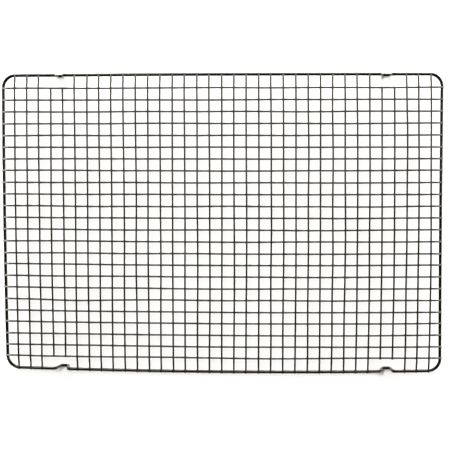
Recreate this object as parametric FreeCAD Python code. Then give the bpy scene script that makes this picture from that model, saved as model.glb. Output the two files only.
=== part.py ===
"""Cooling rack: a welded grid of thin wires on a thicker border wire that has four feet bent in it.

Millimetres, +Z up. The origin is on the surface that the feet stand on, below the centre of the
border. +X runs along the long sides. Each wire is one solid in a node of its own:

- the border wire, a closed rounded rectangle with a narrow U bent down for each foot;
- the long wires, straight, lying on the border's short sides;
- the cross wires, lying on the long wires and stepping down at their ends onto the border's
  long sides, both trimmed flush with the border's outer edge;
- the short cross wires beside each foot, straight, ending at the outermost long wires.

Where two wires are welded, the upper one has a shallow saddle that the lower one sits in. They
share that face and no volume.
"""

import FreeCAD, Part
import math
import os

Vector = FreeCAD.Vector

# Wires
BORDER_DIAMETER = 3.0
GRID_DIAMETER = 1.7
WELD_SINK = 0.3             # how deep a wire is pressed into the one above it

# Border, between the centrelines of opposite sides
BORDER_LENGTH = 452.9
BORDER_WIDTH = 308.9
CORNER_RADIUS = 12.5        # of the centreline
TOTAL_HEIGHT = 25.4         # from the feet to the top of the cross wires

# Grid
LONG_COUNT = 24
LONG_PITCH = 12.2
CROSS_COUNT = 35
CROSS_PITCH = 12.7
SHORT_CROSS = (4, 5)        # the short cross wires, counted from each end of the rack
SHORT_OVERHANG = 0.4        # how far a short cross wire reaches past the outermost long wire

# Where a cross wire steps down from the long wires to the border
STEP_START = 2.4            # from the outermost long wire's centreline
STEP_RADIUS = 9.0

# Feet: centreline widths between the corners that the bends round off
FOOT_OFFSET = 13.5 * CROSS_PITCH    # middle of a foot from the middle of the rack
FOOT_TOP_WIDTH = 15.0
FOOT_BOTTOM_WIDTH = 6.0
FOOT_BEND_RADIUS = 3.4

# Derived sizes
BORDER_R = BORDER_DIAMETER / 2
GRID_R = GRID_DIAMETER / 2
HALF_LENGTH = BORDER_LENGTH / 2
HALF_WIDTH = BORDER_WIDTH / 2
LAST_LONG_Y = (LONG_COUNT - 1) / 2 * LONG_PITCH
STEP_DROP = GRID_DIAMETER - WELD_SINK
CROSS_Z = TOTAL_HEIGHT - GRID_R
LONG_Z = CROSS_Z - STEP_DROP
BORDER_Z = LONG_Z - GRID_R - BORDER_R + WELD_SINK
FOOT_Z = BORDER_R


def bent_wire(corners, diameter, closed=False):
    """A round wire: straight runs between corners, each corner rounded by a tangent bend.

    corners is a list of (point, bend radius). The two ends of an open wire have the radius 0.
    """
    count = len(corners)
    spans = []
    pieces = []
    for index, (point, radius) in enumerate(corners):
        if radius == 0:
            spans.append((point, point))
            continue
        back = (corners[index - 1][0] - point).normalize()
        ahead = (corners[(index + 1) % count][0] - point).normalize()
        opening = back.getAngle(ahead)
        start = point + back * (radius / math.tan(opening / 2))
        end = point + ahead * (radius / math.tan(opening / 2))
        centre = point + (back + ahead).normalize() * (radius / math.sin(opening / 2))
        disc = Part.Face(Part.Wire(Part.Circle(start, back, diameter / 2).toShape()))
        axis = ahead.cross(back).normalize()
        pieces.append(disc.revolve(centre, axis, math.degrees(math.pi - opening)))
        spans.append((start, end))
    for index in range(count if closed else count - 1):
        start = spans[index][1]
        run = spans[(index + 1) % count][0] - start
        pieces.append(Part.makeCylinder(diameter / 2, run.Length, start, run))
    if len(pieces) == 1:
        return pieces[0]
    return pieces[0].multiFuse(pieces[1:])


def foot_corners(x, y):
    """The four bends of one foot, from -X to +X."""
    top = FOOT_TOP_WIDTH / 2
    bottom = FOOT_BOTTOM_WIDTH / 2
    places = [(-top, BORDER_Z), (-bottom, FOOT_Z), (bottom, FOOT_Z), (top, BORDER_Z)]
    return [(Vector(x + dx, y, z), FOOT_BEND_RADIUS) for dx, z in places]


def border_wire():
    """The closed border with a foot near each end of both long sides."""
    def corner(x, y):
        return (Vector(x, y, BORDER_Z), CORNER_RADIUS)

    front = foot_corners(-FOOT_OFFSET, -HALF_WIDTH) + foot_corners(FOOT_OFFSET, -HALF_WIDTH)
    back = foot_corners(-FOOT_OFFSET, HALF_WIDTH) + foot_corners(FOOT_OFFSET, HALF_WIDTH)
    back.reverse()
    path = [corner(-HALF_LENGTH, -HALF_WIDTH), *front, corner(HALF_LENGTH, -HALF_WIDTH),
            corner(HALF_LENGTH, HALF_WIDTH), *back, corner(-HALF_LENGTH, HALF_WIDTH)]
    return bent_wire(path, BORDER_DIAMETER, closed=True)


def long_wire(border):
    """A long wire on the centreline of the rack, with a saddle at each end for the border."""
    reach = HALF_LENGTH + BORDER_R
    ends = [(Vector(-reach, 0, LONG_Z), 0), (Vector(reach, 0, LONG_Z), 0)]
    return bent_wire(ends, GRID_DIAMETER).cut(border)


def cross_wire(x, below):
    """A cross wire at x, with saddles for every wire in below."""
    slope = math.acos(1 - STEP_DROP / (2 * STEP_RADIUS))
    high = LAST_LONG_Y + STEP_START + STEP_RADIUS * math.tan(slope / 2)
    low = high + STEP_DROP / math.tan(slope)
    reach = HALF_WIDTH + BORDER_R
    half = [(Vector(x, high, CROSS_Z), STEP_RADIUS),
            (Vector(x, low, LONG_Z), STEP_RADIUS),
            (Vector(x, reach, LONG_Z), 0)]
    other_half = [(Vector(x, -point.y, point.z), radius) for point, radius in reversed(half)]
    return bent_wire(other_half + half, GRID_DIAMETER).cut(below)


def short_cross_wire(below):
    """A short cross wire in the middle of the rack, with saddles for every wire in below."""
    reach = LAST_LONG_Y + GRID_R + SHORT_OVERHANG
    ends = [(Vector(0, -reach, CROSS_Z), 0), (Vector(0, reach, CROSS_Z), 0)]
    return bent_wire(ends, GRID_DIAMETER).cut(below)


def export(name, shape):
    solid, = shape.Solids
    if not solid.isValid():
        raise ValueError(f"{name} isn't a valid solid")
    solid.exportStep(f"parts/{name}.step")


def main():
    os.makedirs("parts", exist_ok=True)
    border = border_wire()
    export("border_wire", border)

    middle_long = long_wire(border)
    longs = []
    for number in range(1, LONG_COUNT + 1):
        y = (number - (LONG_COUNT + 1) / 2) * LONG_PITCH
        longs.append(middle_long.translated(Vector(0, y, 0)))
        export(f"long_wire_{number:02d}", longs[-1])

    below = Part.makeCompound(longs + [border])
    middle_cross = cross_wire(0, below)
    middle_short = short_cross_wire(below)
    for number in range(1, CROSS_COUNT + 1):
        x = (number - (CROSS_COUNT + 1) / 2) * CROSS_PITCH
        from_end = min(number, CROSS_COUNT + 1 - number)
        if from_end in SHORT_CROSS:
            export(f"short_cross_wire_{number:02d}", middle_short.translated(Vector(x, 0, 0)))
        elif from_end == 1:     # the first and last lie on the border's rounded corners
            export(f"cross_wire_{number:02d}", cross_wire(x, below))
        else:
            export(f"cross_wire_{number:02d}", middle_cross.translated(Vector(x, 0, 0)))


main()
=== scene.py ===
import math

import bpy
import numpy as np
from mathutils import Euler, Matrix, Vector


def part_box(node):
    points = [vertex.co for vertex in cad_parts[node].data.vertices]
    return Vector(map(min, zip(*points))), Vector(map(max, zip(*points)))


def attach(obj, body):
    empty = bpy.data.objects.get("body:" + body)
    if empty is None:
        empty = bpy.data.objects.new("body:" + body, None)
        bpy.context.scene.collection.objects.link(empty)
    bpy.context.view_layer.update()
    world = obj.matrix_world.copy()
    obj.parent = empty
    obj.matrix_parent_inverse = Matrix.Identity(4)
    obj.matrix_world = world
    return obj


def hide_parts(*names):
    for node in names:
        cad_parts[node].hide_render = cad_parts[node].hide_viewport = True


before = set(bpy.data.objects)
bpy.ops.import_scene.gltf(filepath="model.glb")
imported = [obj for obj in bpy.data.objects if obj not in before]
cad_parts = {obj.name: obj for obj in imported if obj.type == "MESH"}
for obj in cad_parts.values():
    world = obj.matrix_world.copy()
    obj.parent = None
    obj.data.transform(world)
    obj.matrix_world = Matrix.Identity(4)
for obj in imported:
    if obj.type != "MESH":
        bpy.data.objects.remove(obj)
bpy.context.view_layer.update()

# The looks of a wire cooling rack, in metres. Each wire of the frame is replaced by a smooth round
# tube with a fillet of coating at each weld, scraped ends with a painted highlight, and the small
# bends that a real rack has.
# A wire's node gives its place. The few sizes that no node's box shows are named below.

MM = 0.001
X, Y, Z = 0, 1, 2
rng = np.random.default_rng(24)

# ---------------------------------------------------------------- sizes from the frame

boxes = {name: np.array(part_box(name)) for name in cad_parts}
LONG_WIRES = sorted(name for name in boxes if name.startswith("long_wire"))
FULL_CROSS_WIRES = sorted(name for name in boxes if name.startswith("cross_wire"))
SHORT_CROSS_WIRES = sorted(name for name in boxes if name.startswith("short_cross_wire"))
CROSS_WIRES = FULL_CROSS_WIRES + SHORT_CROSS_WIRES


def middle(name, axis):
    return boxes[name][:, axis].mean()


BORDER_R = 1.5 * MM
GRID_R = np.ptp(boxes[LONG_WIRES[0]][:, Z]) / 2
LONG_Z = middle(LONG_WIRES[0], Z)
CROSS_Z = boxes[CROSS_WIRES[0]][1, Z] - GRID_R
BORDER_Z = boxes["border_wire"][1, Z] - BORDER_R
HALF_LENGTH = boxes["border_wire"][1, X] - BORDER_R
HALF_WIDTH = boxes["border_wire"][1, Y] - BORDER_R
LAST_LONG_Y = middle(LONG_WIRES[-1], Y)
CROSS_PITCH = middle(FULL_CROSS_WIRES[1], X) - middle(FULL_CROSS_WIRES[0], X)

CORNER_RADIUS = 12.5 * MM
FOOT_OFFSET = 13.5 * CROSS_PITCH
FOOT_BEND_RADIUS = 2.8 * MM
STEP_START = LAST_LONG_Y + 2.4 * MM     # where a cross wire starts to step down to the border
STEP_RADIUS = 9.0 * MM
STEP_DROP = CROSS_Z - LONG_Z

# ---------------------------------------------------------------- how this rack is out of true

# How far each wire stands off its true place, in mm, as terms of a polynomial in u and v, which
# are x and y as shares of half the rack: {(power of u, power of v): amount}. The border's left
# and right sides and the cross wires (GRID_X) stand off to the right. Its front and back sides
# and the long wires (GRID_Y) stand off to the back.
BOW_LEFT = {(0, 0): -0.90, (0, 1): -0.40, (0, 2): 1.06}
BOW_RIGHT = {(0, 0): -0.59, (0, 1): -0.40, (0, 2): 0.52}
BOW_FRONT = {(0, 0): -0.75, (1, 0): -0.29, (2, 0): 3.05}
BOW_BACK = {(0, 0): 0.05, (2, 0): -0.65}
GRID_X = {(0, 0): 0.61, (0, 1): 0.12, (0, 2): -0.43,
          (1, 0): 1.41, (1, 2): -1.20, (2, 1): -0.43, (3, 0): -2.05}
GRID_Y = {(0, 0): -0.32, (0, 1): 1.22, (0, 2): 0.34, (0, 3): -1.04,
          (1, 0): -0.27, (2, 0): 0.81, (2, 1): -1.07, (3, 0): 0.28}

SAG = 0.5 * MM                          # of the middle of the grid
SAG_RIPPLE = 0.25                       # how uneven the sag is
WOBBLE = 0.13 * MM                      # how far a grid wire wanders from its line
WOBBLE_LENGTHS = (90, 380)              # shortest and longest wave, in mm
WOBBLE_WAVES = 3
MISPLACED = 0.12 * MM                   # how far a grid wire is welded from its place
KINK = 1.3 * MM                         # one long wire is bent near its left end
KINKED_WIRE = "long_wire_06"
KINK_X = -158 * MM
KINK_LENGTH = 38 * MM
FEET = {                                # shift, lean, top width and bottom width of each, in mm
    "front left": (2.1, 0.0, 13.5, 7.0),
    "front right": (-0.1, 0.9, 13.9, 8.0),
    "back left": (2.4, -0.8, 10.8, 5.0),
    "back right": (-1.3, 1.0, 13.3, 8.0),
}


def polynomial(terms, x, y):
    """The value, in metres, of a table of terms at a place."""
    u = x / HALF_LENGTH
    v = y / HALF_WIDTH
    return MM * sum(amount * u**i * v**j for (i, j), amount in terms.items())


def border_x(x, y):
    """How far the border's short sides, and the long wires' ends on them, stand to the right."""
    left = polynomial(BOW_LEFT, x, y)
    right = polynomial(BOW_RIGHT, x, y)
    return left + (right - left) * (x / HALF_LENGTH + 1) / 2


def border_y(x, y):
    """How far the border's long sides, and the cross wires' ends on them, stand to the back."""
    front = polynomial(BOW_FRONT, x, y)
    back = polynomial(BOW_BACK, x, y)
    return front + (back - front) * (y / HALF_WIDTH + 1) / 2


def sag_z(x, y):
    u = np.clip(x / HALF_LENGTH, -1, 1)
    v = np.clip(y / HALF_WIDTH, -1, 1)
    ripple = SAG_RIPPLE * np.sin(5.1 * u + 1.3) * np.sin(4.3 * v + 0.4)
    return -SAG * (1 - u**2) * (1 - v**2) * (1 + ripple)


def make_wobble():
    """A gentle seeded wave along one wire."""
    lengths = rng.uniform(*WOBBLE_LENGTHS, WOBBLE_WAVES) * MM
    phases = rng.uniform(0, 2 * math.pi, WOBBLE_WAVES)
    heights = WOBBLE * rng.uniform(0.5, 1.2, WOBBLE_WAVES)
    misplaced = rng.normal(0, MISPLACED)

    def wobble(s):
        waves = [height * np.sin(2 * math.pi * s / length + phase)
                 for height, length, phase in zip(heights, lengths, phases)]
        return misplaced + sum(waves)
    return wobble


wobbles = {name: make_wobble() for name in LONG_WIRES + CROSS_WIRES}

# ---------------------------------------------------------------- centrelines


def long_centre(name, x):
    """Points on a long wire's centreline at the stations x."""
    y = np.full_like(x, middle(name, Y))
    off = wobbles[name](x)
    if name == KINKED_WIRE:
        off = off - KINK * np.exp(-((x - KINK_X) / KINK_LENGTH) ** 2)
    y_shift = polynomial(GRID_Y, x, y) + off
    return np.stack([x + border_x(x, y), y + y_shift, LONG_Z + sag_z(x, y)], axis=-1)


def step_z(y):
    """Height of a full cross wire: two tangent arcs take it down from the grid to the border."""
    run = math.sqrt(STEP_RADIUS**2 - (STEP_RADIUS - STEP_DROP / 2) ** 2)
    t = np.clip(np.abs(y) - STEP_START, 0, 2 * run)
    upper = STEP_RADIUS - np.sqrt(STEP_RADIUS**2 - np.minimum(t, run) ** 2)
    lower = STEP_RADIUS - np.sqrt(STEP_RADIUS**2 - np.minimum(2 * run - t, run) ** 2)
    return CROSS_Z - np.where(t < run, upper, STEP_DROP - lower)


def cross_centre(name, y):
    """Points on a cross wire's centreline at the stations y."""
    x = np.full_like(y, middle(name, X))
    z = step_z(y) if name in FULL_CROSS_WIRES else np.full_like(y, CROSS_Z)
    over_border = np.clip((np.abs(y) - LAST_LONG_Y) / (HALF_WIDTH - LAST_LONG_Y), 0, 1)
    x_shift = polynomial(GRID_X, x, y) + wobbles[name](y)
    y_shift = polynomial(GRID_Y, x, y) * (1 - over_border) + border_y(x, y) * over_border
    return np.stack([x + x_shift, y + y_shift, z + sag_z(x, y)], axis=-1)


def centre_of(name):
    """The centreline of a grid wire, as a function of stations along it."""
    centre = long_centre if name in LONG_WIRES else cross_centre
    return lambda s: centre(name, s)


def rounded_path(corners, step):
    """Points about a step apart round a closed path whose corners, (point, radius), are arcs."""
    points = []
    arcs = []
    count = len(corners)
    for index, (corner, radius) in enumerate(corners):
        back = corners[index - 1][0] - corner
        ahead = corners[(index + 1) % count][0] - corner
        back = back / np.linalg.norm(back)
        ahead = ahead / np.linalg.norm(ahead)
        half = math.acos(np.dot(back, ahead)) / 2
        bend = math.pi - 2 * half
        start = corner + back * radius / math.tan(half)
        inward = (back + ahead) / np.linalg.norm(back + ahead)
        centre = corner + inward * radius / math.sin(half)
        turns = np.linspace(0, bend, max(3, int(radius * bend / step)))
        out = (start - centre) / radius
        arcs.append([centre + radius * (out * math.cos(a) - back * math.sin(a)) for a in turns])
    for index, arc in enumerate(arcs):
        following = arcs[(index + 1) % count][0]
        parts = max(2, int(np.linalg.norm(following - arc[-1]) / step))
        shares = np.arange(1, parts) / parts
        points += arc
        points += [arc[-1] + (following - arc[-1]) * share for share in shares]
    return np.array(points)


def border_corners():
    """The border's corners and the bends of its feet, counterclockwise from the front left."""
    def foot(name):
        x = FOOT_OFFSET if "right" in name else -FOOT_OFFSET
        y = HALF_WIDTH if "back" in name else -HALF_WIDTH
        shift, lean, top, bottom = np.array(FEET[name]) * MM
        places = [(-top / 2, BORDER_Z), (lean - bottom / 2, BORDER_R),
                  (lean + bottom / 2, BORDER_R), (top / 2, BORDER_Z)]
        return [(np.array([x + shift + dx, y, z]), FOOT_BEND_RADIUS) for dx, z in places]

    def corner(x, y):
        return (np.array([x, y, BORDER_Z]), CORNER_RADIUS)

    front = foot("front left") + foot("front right")
    back = foot("back left") + foot("back right")
    return [corner(-HALF_LENGTH, -HALF_WIDTH), *front, corner(HALF_LENGTH, -HALF_WIDTH),
            corner(HALF_LENGTH, HALF_WIDTH), *reversed(back), corner(-HALF_LENGTH, HALF_WIDTH)]


def bowed(points):
    """Points of the straight border, moved to where the bowed border has them."""
    x, y, z = points.T
    return np.stack([x + border_x(x, y), y + border_y(x, y), z], axis=-1)


def side_centre(side):
    """The centreline of one straight side of the border, as a function of stations along it."""
    def centre(s):
        places = np.zeros((len(s), 3))
        places[:, Z] = BORDER_Z
        if side in ("left", "right"):
            places[:, Y] = s
            places[:, X] = HALF_LENGTH if side == "right" else -HALF_LENGTH
        else:
            places[:, X] = s
            places[:, Y] = HALF_WIDTH if side == "back" else -HALF_WIDTH
        return bowed(places)
    return centre


# ---------------------------------------------------------------- tubes

FILLET = 1.1 * MM                       # reach of the coating that fills the crotch of a weld
FILLET_HEIGHT = FILLET / 4
ASTRAY = 4 * FILLET                     # how far from its true place a wire is looked for
PRESSED_TOP = 0.72 * GRID_R             # height of a grid wire's flattened top on the border
PRESSED_LENGTH = 3.4 * MM
# How light each end's flats are painted: scraped coating plus a painted highlight, stronger at the
# left and back ends, where the light falls.
END_WEAR_AND_HIGHLIGHT = {X: (0.98, 0.48), Y: (0.06, 0.36)}   # of the flats, at the low end and the high end
END_ROUND = 0.3 * MM                    # the rounding of a cut end
END_SLANT = 0.12                        # largest slope of a sheared end
BUTT_X = 0.5 * CROSS_PITCH              # the border's ends meet between two cross wires
BUTT_HEIGHT = 0.16 * MM
BUTT_LENGTH = 0.7 * MM

# How fine the meshes are
GRID_SEGMENTS = 16
BORDER_SEGMENTS = 24
END_RINGS = 5
WELD_RINGS = np.array([-1.7, -1.1, -0.7, -0.35, 0, 0.35, 0.7, 1.1, 1.7]) * MM
STEP_RINGS = np.arange(7) * 1.2 * MM
BORDER_STEP = 0.5 * MM                  # between the border's rings in bends and at welds
STRAIGHT_STEPS = 8                      # steps between them where the border is straight
BENDING = 1e-3                          # radians a step, above which the border is in a bend
BUTT_RINGS = 2 * MM                     # reach of the close rings each side of the butt weld


def frames(points, closed):
    """Unit vectors out to the side and up, square to the path at each point."""
    if closed:
        run = np.roll(points, -1, axis=0) - np.roll(points, 1, axis=0)
    else:
        run = np.gradient(points, axis=0)
    run = run / np.linalg.norm(run, axis=1, keepdims=True)
    side = np.stack([run[:, Y], -run[:, X], np.zeros(len(run))], axis=-1)
    side = side / np.linalg.norm(side, axis=1, keepdims=True)
    return side, np.cross(side, run)


def rings(points, radii, segments, closed):
    """Ring vertices around a path, and the way out at each."""
    side, up = frames(points, closed)
    turn = np.linspace(0, 2 * math.pi, segments, endpoint=False)
    out = side[:, None] * np.cos(turn)[:, None] + up[:, None] * np.sin(turn)[:, None]
    return points[:, None] + out * radii[:, None, None], out


def swell(clearance):
    """How far a wire's coating stands out near another wire, by how far away that wire is."""
    return FILLET_HEIGHT * np.clip(1 - np.maximum(clearance, 0) / FILLET, 0, 1) ** 2


def clearances(verts, others):
    """The distance from each vertex to the nearest of the other wires' surfaces.

    others are (axis that the wire runs along, its centreline, its radius, its place across).
    """
    nearest = np.full(verts.shape[:-1], np.inf)
    for along, centre, radius, place in others:
        across = Y if along == X else X
        close = np.abs(verts[..., across] - place) < radius + ASTRAY
        if not close.any():
            continue
        spots = verts[close]
        gap = spots - centre(spots[:, along])
        gap[:, along] = 0
        nearest[close] = np.minimum(nearest[close], np.linalg.norm(gap, axis=1) - radius)
    return nearest


def add_mesh(name, verts, caps, marks, material):
    """A tube from its rings. caps are the middles of its two ends, or None for a loop.

    marks are the numbers at its vertices that the material reads, by name.
    """
    count, segments = verts.shape[:2]
    places = verts.reshape(-1, 3)
    here = np.arange(segments)
    after = np.roll(here, -1)
    starts = np.arange(count if caps is None else count - 1)[:, None] * segments
    nexts = (starts + segments) % (count * segments)
    quads = np.stack([starts + here, nexts + here, nexts + after, starts + after], axis=-1)
    faces = quads.reshape(-1, 4).tolist()
    if caps is not None:
        first, last = len(places), len(places) + 1
        end = (count - 1) * segments
        faces += [(first, a, b) for a, b in zip(here.tolist(), after.tolist())]
        faces += [(last, end + b, end + a) for a, b in zip(here.tolist(), after.tolist())]
        places = np.concatenate([places, caps])
    mesh = bpy.data.meshes.new(name)
    mesh.from_pydata(places.tolist(), [], faces)
    mesh.polygons.foreach_set("use_smooth", [True] * len(mesh.polygons))
    for mark, values in marks.items():
        padded = np.zeros(len(places), np.float32)
        padded[:values.size] = values.ravel()
        mesh.attributes.new(mark, "FLOAT", "POINT").data.foreach_set("value", padded)
    mesh.materials.append(material)
    mesh.validate()
    piece = bpy.data.objects.new(name, mesh)
    bpy.context.scene.collection.objects.link(piece)
    return piece


def finish_piece(piece, node):
    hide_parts(node)
    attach(piece, "root")


def stations(low, high, crossings, bends):
    """Where a grid wire's rings go, and their sizes: close together at welds and rounded ends."""
    between = (crossings[1:] + crossings[:-1]) / 2
    run = np.concatenate([(crossings[:, None] + WELD_RINGS).ravel(), between, bends])
    run = run[(run > low + 1.5 * END_ROUND) & (run < high - 1.5 * END_ROUND)]
    run = np.unique(np.round(run, 6))
    turn = np.linspace(0, math.pi / 2, END_RINGS)
    inset = END_ROUND * (1 - np.cos(turn))
    scale = 1 - END_ROUND / GRID_R * (1 - np.sin(turn))
    places = np.concatenate([low + inset, run, high - inset[::-1]])
    scales = np.concatenate([scale, np.ones(len(run)), scale[::-1]])
    return places, scales


def press_ends(verts, out, points, places, axis):
    """Flatten the tops of a wire's ends, which lie on the border, and give each vertex's share of
    scraped coating and painted highlight.
    """
    worn = np.zeros(verts.shape[:2])
    both_ends = (places < places[0] + PRESSED_LENGTH, places > places[-1] - PRESSED_LENGTH)
    for pressed, wear_and_highlight in zip(both_ends, END_WEAR_AND_HIGHLIGHT[axis]):
        flat = points[pressed, None, Z] + PRESSED_TOP
        verts[pressed, :, Z] = np.minimum(verts[pressed, :, Z], flat)
        worn[pressed] = wear_and_highlight * (out[pressed, :, Z] > 0.5)
    return worn


def slant_ends(verts, points, axis):
    """Give each end of a wire the slope of a sheared cut."""
    for end in (slice(0, END_RINGS), slice(-END_RINGS, None)):
        slope = rng.uniform(-END_SLANT, END_SLANT, 3)
        slope[axis] = 0
        verts[end, :, axis] += (verts[end] - points[end, None]) @ slope


def make_grid_wire(node, axis, crossings, bends, others, material):
    """One round wire of the grid along axis, from its node's low end to its high end."""
    low, high = boxes[node][:, axis]
    if node in SHORT_CROSS_WIRES:
        low, high = -LAST_LONG_Y - GRID_R, LAST_LONG_Y + GRID_R
    places, scales = stations(low, high, crossings, bends)
    points = centre_of(node)(places)
    verts, out = rings(points, GRID_R * scales, GRID_SEGMENTS, closed=False)
    marks = {}
    # The ends' scraped coating and painted highlight.
    if node not in SHORT_CROSS_WIRES:
        marks["worn"] = press_ends(verts, out, points, places, axis)
    slant_ends(verts, points, axis)
    extra = swell(clearances(verts, others))
    marks["weld"] = extra / FILLET_HEIGHT
    verts = verts + out * extra[..., None]
    caps = verts[[0, -1]].mean(axis=1)
    finish_piece(add_mesh("visual_" + node, verts, caps, marks, material), node)


# ---------------------------------------------------------------- materials

COATING = ((0.004, 0.0034, 0.0028, 1), (0.014, 0.0100, 0.007, 1))   # darkest and lightest
POOLED = (0.003, 0.0026, 0.0022, 1)     # the thick coating in a weld
RUBBED = (0.045, 0.040, 0.035, 1)       # the tops of the wires
# The pressed ends' colour: scraped coating, lightened to a painted highlight.
WORN_END_AND_HIGHLIGHT = (0.34, 0.33, 0.32, 1)
BARE_STEEL = (0.32, 0.31, 0.30, 1)      # under the feet
SCUFF_HEIGHT = 0.9 * MM
PEEL_DEPTH = 0.06 * MM                  # of the coating's orange-peel surface
FLOOR_COLOURS = ((0.93, 0.93, 0.92, 1), (0.95, 0.95, 0.94, 1))


class Nodes:
    """Short calls for building a node tree."""

    def __init__(self, name):
        self.material = bpy.data.materials.new(name)
        self.material.use_nodes = True
        self.tree = self.material.node_tree
        self.shader = self.tree.nodes["Principled BSDF"]

    def add(self, kind, **settings):
        node = self.tree.nodes.new("ShaderNode" + kind)
        for key, value in settings.items():
            setattr(node, key, value)
        return node

    def put(self, value, socket):
        if isinstance(value, bpy.types.NodeSocket):
            self.tree.links.new(value, socket)
        else:
            socket.default_value = value

    def noise(self, scale, detail=2.0):
        node = self.add("TexNoise")
        coordinates = self.add("TexCoord")
        self.put(coordinates.outputs["Object"], node.inputs["Vector"])
        self.put(scale, node.inputs["Scale"])
        self.put(detail, node.inputs["Detail"])
        return node.outputs["Fac"]

    def math(self, operation, a, b):
        node = self.add("Math", operation=operation)
        self.put(a, node.inputs[0])
        self.put(b, node.inputs[1])
        return node.outputs[0]

    def ramp(self, value, low, high, to_low=0.0, to_high=1.0):
        node = self.add("MapRange", interpolation_type="SMOOTHSTEP")
        for socket, number in zip(node.inputs, (value, low, high, to_low, to_high)):
            self.put(number, socket)
        return node.outputs[0]

    def mix(self, share, a, b):
        node = self.add("Mix", data_type="RGBA")
        self.put(share, node.inputs["Factor"])
        self.put(a, node.inputs["A"])
        self.put(b, node.inputs["B"])
        return node.outputs["Result"]

    def split(self, vector, part):
        node = self.add("SeparateXYZ")
        self.put(vector, node.inputs[0])
        return node.outputs[part]


def make_coating(name, base_roughness, coat):
    """Dark non-stick coating: mottled, with rubbed tops, pooled welds, scuffed feet, and scraped
    ends lit by a painted highlight.
    """
    n = Nodes(name)
    geometry = n.add("NewGeometry")
    broad = n.noise(70)
    mottle = n.noise(750, detail=4)
    grain = n.noise(2600, detail=2)
    weld = n.add("Attribute", attribute_name="weld").outputs["Fac"]

    tone = n.math("ADD", n.math("MULTIPLY", broad, 0.5), n.math("MULTIPLY", mottle, 0.5))
    colour = n.mix(n.ramp(tone, 0.35, 0.65), *COATING)
    colour = n.mix(n.math("MULTIPLY", weld, 0.5), colour, POOLED)

    facing_up = n.ramp(n.split(geometry.outputs["Normal"], "Z"), 0.72, 0.98)
    rubbed = n.math("MULTIPLY", facing_up, n.ramp(n.noise(240, detail=3), 0.52, 0.68))
    colour = n.mix(n.math("MULTIPLY", rubbed, 0.3), colour, RUBBED)

    height = n.split(geometry.outputs["Position"], "Z")
    low = n.ramp(height, SCUFF_HEIGHT, 0.1 * MM)
    scuffed = n.math("MULTIPLY", low, n.ramp(mottle, 0.38, 0.56))
    colour = n.mix(scuffed, colour, BARE_STEEL)
    # The pressed ends: scraped coating, and a painted highlight that stands in for their glint.
    worn = n.add("Attribute", attribute_name="worn").outputs["Fac"]
    worn = n.math("MULTIPLY", worn, n.ramp(mottle, 0.30, 0.50, 0.6, 1.0))
    colour = n.mix(worn, colour, WORN_END_AND_HIGHLIGHT)
    n.put(colour, n.shader.inputs["Base Color"])
    n.put(scuffed, n.shader.inputs["Metallic"])

    roughness = n.ramp(mottle, 0.3, 0.7, base_roughness - 0.07, base_roughness + 0.10)
    roughness = n.math("ADD", roughness, n.math("MULTIPLY", rubbed, 0.12))
    roughness = n.math("SUBTRACT", roughness, n.math("MULTIPLY", weld, 0.08))
    n.put(roughness, n.shader.inputs["Roughness"])
    n.put(coat, n.shader.inputs["Coat Weight"])
    n.put(0.15, n.shader.inputs["Coat Roughness"])

    peel = n.math("ADD", n.math("MULTIPLY", grain, 0.6), mottle)
    bump = n.add("Bump")
    n.put(peel, bump.inputs["Height"])
    n.put(0.35, bump.inputs["Strength"])
    n.put(PEEL_DEPTH, bump.inputs["Distance"])
    n.put(bump.outputs[0], n.shader.inputs["Normal"])
    return n.material


def make_floor_finish():
    n = Nodes("pale_floor")
    n.put(n.mix(n.noise(6), *FLOOR_COLOURS), n.shader.inputs["Base Color"])
    n.put(0.85, n.shader.inputs["Roughness"])
    n.put(0.1, n.shader.inputs["Specular IOR Level"])
    return n.material


# ---------------------------------------------------------------- the rack


def crossing_places(names, axis):
    return np.array([middle(name, axis) for name in names])


long_lines = [(X, centre_of(name), GRID_R, middle(name, Y)) for name in LONG_WIRES]
full_lines = [(Y, centre_of(name), GRID_R, middle(name, X)) for name in FULL_CROSS_WIRES]
short_lines = [(Y, centre_of(name), GRID_R, middle(name, X)) for name in SHORT_CROSS_WIRES]
short_sides = [(Y, side_centre("left"), BORDER_R, -HALF_LENGTH),
               (Y, side_centre("right"), BORDER_R, HALF_LENGTH)]
long_sides = [(X, side_centre("front"), BORDER_R, -HALF_WIDTH),
              (X, side_centre("back"), BORDER_R, HALF_WIDTH)]


def make_long_wires(coating):
    crossings = np.sort(np.append(crossing_places(CROSS_WIRES, X), [-HALF_LENGTH, HALF_LENGTH]))
    others = full_lines + short_lines + short_sides
    for name in LONG_WIRES:
        make_grid_wire(name, X, crossings, [], others, coating)


def make_cross_wires(coating):
    on_long_wires = crossing_places(LONG_WIRES, Y)
    on_border = np.sort(np.append(on_long_wires, [-HALF_WIDTH, HALF_WIDTH]))
    step = STEP_START + STEP_RINGS
    bends = np.append(-step, step)
    for name in FULL_CROSS_WIRES:
        make_grid_wire(name, Y, on_border, bends, long_lines + long_sides, coating)
    for name in SHORT_CROSS_WIRES:
        make_grid_wire(name, Y, on_long_wires, [], long_lines, coating)


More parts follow.
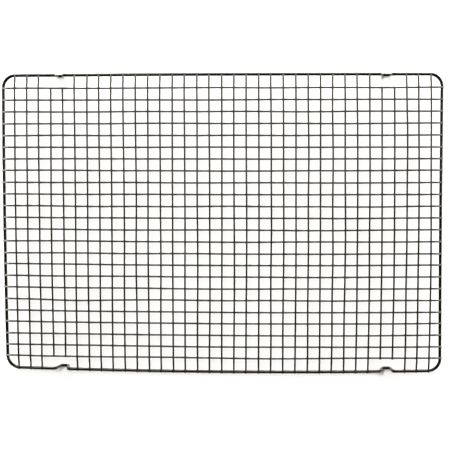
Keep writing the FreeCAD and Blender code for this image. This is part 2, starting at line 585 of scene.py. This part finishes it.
def make_border(coating):
    """The border with its feet. Its rings are close together in bends and at welds."""
    fine = rounded_path(border_corners(), BORDER_STEP)
    run = np.roll(fine, -1, axis=0) - fine
    run = run / np.linalg.norm(run, axis=1, keepdims=True)
    bending = np.linalg.norm(run - np.roll(run, 1, axis=0), axis=1) > BENDING
    points = bowed(fine)
    lines = long_lines + full_lines
    welded = clearances(points[:, None], lines)[:, 0] < BORDER_R + 2 * FILLET
    butt = (np.abs(fine[:, X] - BUTT_X) < BUTT_RINGS) & (fine[:, Y] > 0)
    spaced = np.arange(len(fine)) % STRAIGHT_STEPS == 0
    points = points[bending | welded | butt | spaced]
    verts, out = rings(points, np.full(len(points), BORDER_R), BORDER_SEGMENTS, closed=True)
    extra = swell(clearances(verts, lines))
    marks = {"weld": extra / FILLET_HEIGHT}
    from_butt = verts[..., X] - BUTT_X - border_x(BUTT_X, HALF_WIDTH)
    extra = extra + BUTT_HEIGHT * np.exp(-(from_butt / BUTT_LENGTH) ** 2) * (verts[..., Y] > 0)
    verts = verts + out * extra[..., None]
    finish_piece(add_mesh("visual_border_wire", verts, None, marks, coating), "border_wire")


grid_coating = make_coating("grid_coating", base_roughness=0.36, coat=0.9)
make_border(make_coating("border_coating", base_roughness=0.26, coat=0.4))
make_long_wires(grid_coating)
make_cross_wires(grid_coating)

# ---------------------------------------------------------------- studio

FLOOR_HALF = 12.0
CAMERA_AT = (70.6 * MM, 100.3 * MM, 1366.0 * MM)
CAMERA_TILT = (-4.315, 2.844, 0.117)    # degrees about X, Y and Z, from looking straight down
CAMERA_LENS = 104
WARM_WHITE = (1.0, 0.987, 0.966)        # of the lights
TONES = ((0.05, 0.018), (0.12, 0.080), (0.20, 0.175),   # points on the contrast curve
         (0.30, 0.28), (0.54, 0.59), (0.73, 0.935))


def make_floor():
    mesh = bpy.data.meshes.new("floor")
    corners = [(-FLOOR_HALF, -FLOOR_HALF, 0), (FLOOR_HALF, -FLOOR_HALF, 0),
               (FLOOR_HALF, FLOOR_HALF, 0), (-FLOOR_HALF, FLOOR_HALF, 0)]
    mesh.from_pydata(corners, [], [(0, 1, 2, 3)])
    mesh.materials.append(make_floor_finish())
    floor = bpy.data.objects.new("floor", mesh)
    bpy.context.scene.collection.objects.link(floor)


def make_light(name, place, width, height, brightness, glints=True):
    """A soft box at place, turned towards the rack. Without glints, no wire mirrors it."""
    light = bpy.data.lights.new(name, "AREA")
    light.shape = "RECTANGLE"
    light.size = width
    light.size_y = height
    light.energy = brightness * math.pi * width * height
    light.color = WARM_WHITE
    lamp = bpy.data.objects.new(name, light)
    lamp.location = place
    lamp.visible_glossy = glints
    lamp.rotation_mode = "QUATERNION"
    lamp.rotation_quaternion = lamp.location.to_track_quat("Z", "Y")
    bpy.context.scene.collection.objects.link(lamp)


def make_world(strength):
    world = bpy.data.worlds.new("studio")
    world.use_nodes = True
    background = world.node_tree.nodes["Background"]
    background.inputs["Color"].default_value = (*WARM_WHITE, 1)
    background.inputs["Strength"].default_value = strength
    bpy.context.scene.world = world


def make_camera():
    lens = bpy.data.cameras.new("camera")
    lens.lens = CAMERA_LENS
    lens.dof.use_dof = False
    camera = bpy.data.objects.new("camera", lens)
    camera.location = CAMERA_AT
    camera.rotation_mode = "ZYX"
    camera.rotation_euler = Euler([math.radians(a) for a in CAMERA_TILT], "ZYX")
    bpy.context.scene.collection.objects.link(camera)
    bpy.context.scene.camera = camera


def set_tones():
    """The contrast of a product photo: deep blacks, and a pale floor that is almost white."""
    view = bpy.context.scene.view_settings
    view.view_transform = "Standard"
    view.use_curve_mapping = True
    curve = view.curve_mapping.curves[3]
    for tone in TONES:
        curve.points.new(*tone)
    view.curve_mapping.update()


make_floor()
make_light("key", (-0.14, 0.27, 1.40), 0.30, 0.30, 25.0, glints=False)
make_light("left", (-2.60, 0.50, 1.90), 1.4, 1.4, 2.9)
make_light("right", (2.60, 0.60, 1.90), 1.4, 1.4, 8.1)
make_light("window", (-0.20, 5.80, 3.60), 4.6, 4.8, 8.2)
make_world(0.076)
make_camera()
set_tones()
